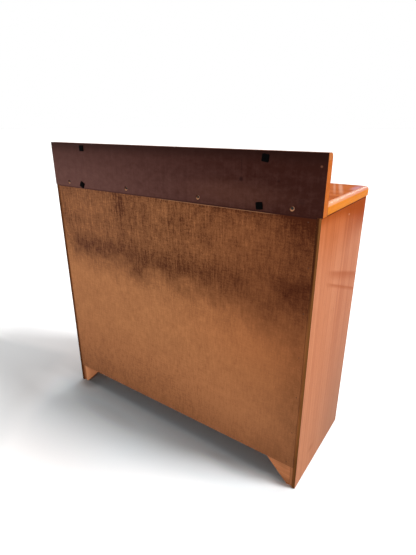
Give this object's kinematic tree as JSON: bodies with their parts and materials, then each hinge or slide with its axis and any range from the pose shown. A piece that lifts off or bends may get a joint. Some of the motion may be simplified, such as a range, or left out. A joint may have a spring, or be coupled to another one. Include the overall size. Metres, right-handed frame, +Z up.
{
  "type": "chest of drawers",
  "caption": "Low teak chest of full-width drawers with half-moon pulls, a rounded lipped top and a raised back board.",
  "frame": {"origin": "on the floor, under the middle of the bounding box with the drawers shut", "axes": "+X to the right as seen by someone facing the drawers, +Y towards the wall behind, +Z up; drawers open towards -Y"},
  "size_m": [0.9, 0.3636, 0.8883],
  "materials": {
    "teak_veneer": "oiled veneer, satin",
    "teak_solid": "oiled solid wood, satin",
    "brown_backing": "dark brown stain on the back, satin",
    "hardboard": "raw hardboard, stained with age",
    "softwood": "sawn, raw",
    "beech": "planed, thin lacquer",
    "drawer_ply": "plywood, thin lacquer",
    "screw_steel": "dulled steel",
    "black_rubber": "matt"
  },
  "bodies": {
    "carcass": {"side_panel_left": "teak_veneer", "side_panel_right": "teak_veneer", "top_panel": "teak_veneer", "top_lipping_front": "teak_solid", "top_lipping_left": "teak_solid", "top_lipping_right": "teak_solid", "upstand_board": "brown_backing", "upstand_lipping": "teak_solid", "upstand_screw_1": "screw_steel", "upstand_screw_2": "screw_steel", "upstand_screw_3": "screw_steel", "upstand_screw_4": "screw_steel", "wall_bumper_1": "black_rubber", "wall_bumper_2": "black_rubber", "wall_bumper_3": "black_rubber", "wall_bumper_4": "black_rubber", "back_panel": "hardboard", "front_plinth": "teak_veneer", "rear_plinth": "softwood", "bottom_panel": "teak_veneer", "front_top_rail": "teak_solid", "rear_top_rail": "softwood", "runner_1_left": "beech", "runner_1_right": "beech", "runner_2_left": "beech", "runner_2_right": "beech", "runner_3_left": "beech", "runner_3_right": "beech", "runner_4_left": "beech", "runner_4_right": "beech"},
    "drawer_1": {"drawer_1_front": "teak_veneer", "drawer_1_side_left": "beech", "drawer_1_side_right": "beech", "drawer_1_back": "beech", "drawer_1_bottom": "drawer_ply", "drawer_1_pull_left": "teak_solid", "drawer_1_pull_right": "teak_solid"},
    "drawer_2": {"drawer_2_front": "teak_veneer", "drawer_2_side_left": "beech", "drawer_2_side_right": "beech", "drawer_2_back": "beech", "drawer_2_bottom": "drawer_ply", "drawer_2_pull_left": "teak_solid", "drawer_2_pull_right": "teak_solid"},
    "drawer_3": {"drawer_3_front": "teak_veneer", "drawer_3_side_left": "beech", "drawer_3_side_right": "beech", "drawer_3_back": "beech", "drawer_3_bottom": "drawer_ply", "drawer_3_pull_left": "teak_solid", "drawer_3_pull_right": "teak_solid"},
    "drawer_4": {"drawer_4_front": "teak_veneer", "drawer_4_side_left": "beech", "drawer_4_side_right": "beech", "drawer_4_back": "beech", "drawer_4_bottom": "drawer_ply", "drawer_4_pull_left": "teak_solid", "drawer_4_pull_right": "teak_solid"}
  },
  "joints": [
    {"name": "drawer_1_slide", "type": "slide", "parent": "carcass", "child": "drawer_1", "axis": [0, -1, 0], "range_m": [0, 0.21]},
    {"name": "drawer_2_slide", "type": "slide", "parent": "carcass", "child": "drawer_2", "axis": [0, -1, 0], "range_m": [0, 0.21]},
    {"name": "drawer_3_slide", "type": "slide", "parent": "carcass", "child": "drawer_3", "axis": [0, -1, 0], "range_m": [0, 0.21]},
    {"name": "drawer_4_slide", "type": "slide", "parent": "carcass", "child": "drawer_4", "axis": [0, -1, 0], "range_m": [0, 0.21]}
  ]
}
